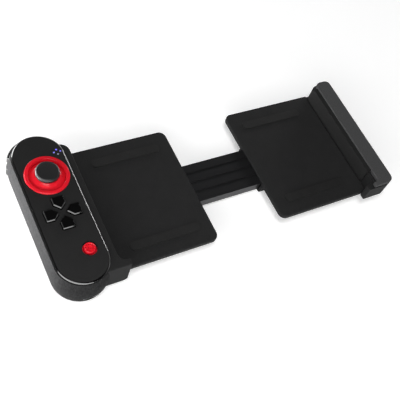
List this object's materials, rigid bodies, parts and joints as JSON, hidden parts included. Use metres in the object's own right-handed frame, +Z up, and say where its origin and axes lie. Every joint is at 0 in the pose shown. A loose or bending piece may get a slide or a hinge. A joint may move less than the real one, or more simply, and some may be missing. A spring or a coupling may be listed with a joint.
{
  "type": "mobile game controller",
  "caption": "Telescopic one-sided game controller: a capsule handle with thumb stick, direction keys and shoulder keys, joined by a sliding bracket to a clamp that grips a handset.",
  "frame": {"origin": "centre of the handle's flat underside", "axes": "+X from the handle along the bay to the clamp, +Y to the handle's back end with the stick, +Z up out of the face with the keys"},
  "size_m": [0.2032, 0.0925, 0.0241],
  "materials": {
    "shell_dark": "fine matte texture",
    "clamp_grey": "fine matte texture",
    "red_gloss": "gloss",
    "key_black": "high gloss",
    "grip_rubber": "matt",
    "pad_rubber": "matt",
    "clear_rubber": "satin",
    "stick_nylon": "satin",
    "chip_black": "matt",
    "board": "lacquered",
    "cell_wrap": "foil wrap",
    "lamp_clear": "clear",
    "beam_alloy": "dark anodised",
    "steel": "zinc plated"
  },
  "bodies": {
    "handle": {"grip_tub": "shell_dark", "face_cover": "shell_dark", "stick_bezel": "red_gloss", "stick_frame": "steel", "stick_board": "board", "key_sheet": "clear_rubber", "main_board": "board", "control_chip": "chip_black", "battery_cell": "cell_wrap", "charge_board": "board", "charge_socket": "steel", "light_guide": "lamp_clear", "lamp_board": "board", "case_screws": "steel", "trigger_pin": "steel", "side_board": "board", "side_switches": "chip_black", "near_shell": "shell_dark", "near_base": "shell_dark", "jaw_screws": "steel", "jaw_facing": "pad_rubber", "near_strips": "pad_rubber", "slide_beam": "beam_alloy", "beam_screws": "steel", "near_spring_pins": "steel", "return_springs": "steel"},
    "clamp": {"clamp_base": "shell_dark", "clamp_deck": "shell_dark", "clamp_cover": "clamp_grey", "clamp_screws": "steel", "clamp_facing": "pad_rubber", "far_strips": "pad_rubber", "far_spring_pins": "steel"},
    "stick_cradle": {"gimbal_cradle": "stick_nylon"},
    "stick_block": {"gimbal_block": "stick_nylon"},
    "thumb_stick": {"stick_shaft": "stick_nylon", "stick_dome": "red_gloss", "thumb_cap": "grip_rubber"},
    "up_key": {"key_up": "key_black"},
    "down_key": {"key_down": "key_black"},
    "left_key": {"key_left": "key_black"},
    "right_key": {"key_right": "key_black"},
    "menu_button": {"home_button": "red_gloss"},
    "bumper": {"shoulder_bumper": "key_black"},
    "trigger": {"shoulder_trigger": "key_black"}
  },
  "joints": [
    {"name": "bracket_slide", "type": "slide", "parent": "handle", "child": "clamp", "axis": [1, 0, 0], "range_m": [-0.04, 0.009], "deforming": ["return_springs"]},
    {"name": "stick_side_tilt", "type": "hinge", "parent": "handle", "child": "stick_cradle", "pos_m": [0.00017, 0.01864, 0.0086], "axis": [0, 1, 0], "range_deg": [-10, 10], "stiffness_Nm_per_rad": 0.05},
    {"name": "stick_fore_tilt", "type": "hinge", "parent": "stick_cradle", "child": "stick_block", "pos_m": [0.00017, 0.01864, 0.0086], "axis": [1, 0, 0], "range_deg": [-10, 10], "stiffness_Nm_per_rad": 0.05},
    {"name": "stick_press", "type": "slide", "parent": "stick_block", "child": "thumb_stick", "axis": [0, 0, 1], "range_m": [-0.0005, 0], "stiffness_N_per_m": 3000, "springref_m": 0.0004},
    {"name": "up_press", "type": "slide", "parent": "handle", "child": "up_key", "axis": [0, 0, 1], "range_m": [-0.0008, 0], "stiffness_N_per_m": 1500, "springref_m": 0.0003, "deforming": ["key_sheet"]},
    {"name": "down_press", "type": "slide", "parent": "handle", "child": "down_key", "axis": [0, 0, 1], "range_m": [-0.0008, 0], "stiffness_N_per_m": 1500, "springref_m": 0.0003, "deforming": ["key_sheet"]},
    {"name": "left_press", "type": "slide", "parent": "handle", "child": "left_key", "axis": [0, 0, 1], "range_m": [-0.0008, 0], "stiffness_N_per_m": 1500, "springref_m": 0.0003, "deforming": ["key_sheet"]},
    {"name": "right_press", "type": "slide", "parent": "handle", "child": "right_key", "axis": [0, 0, 1], "range_m": [-0.0008, 0], "stiffness_N_per_m": 1500, "springref_m": 0.0003, "deforming": ["key_sheet"]},
    {"name": "menu_press", "type": "slide", "parent": "handle", "child": "menu_button", "axis": [0, 0, 1], "range_m": [-0.0007, 0], "stiffness_N_per_m": 1500, "springref_m": 0.0003, "deforming": ["key_sheet"]},
    {"name": "bumper_press", "type": "slide", "parent": "handle", "child": "bumper", "axis": [-0.4695, 0.8829, 0], "range_m": [-0.0012, 0], "stiffness_N_per_m": 1200, "springref_m": 0.0004},
    {"name": "trigger_pull", "type": "hinge", "parent": "handle", "child": "trigger", "pos_m": [-0.00096, 0.04146, 0.0053], "axis": [0, 0, 1], "range_deg": [0, 8], "stiffness_Nm_per_rad": 0.12, "springref_deg": -3.44}
  ]
}
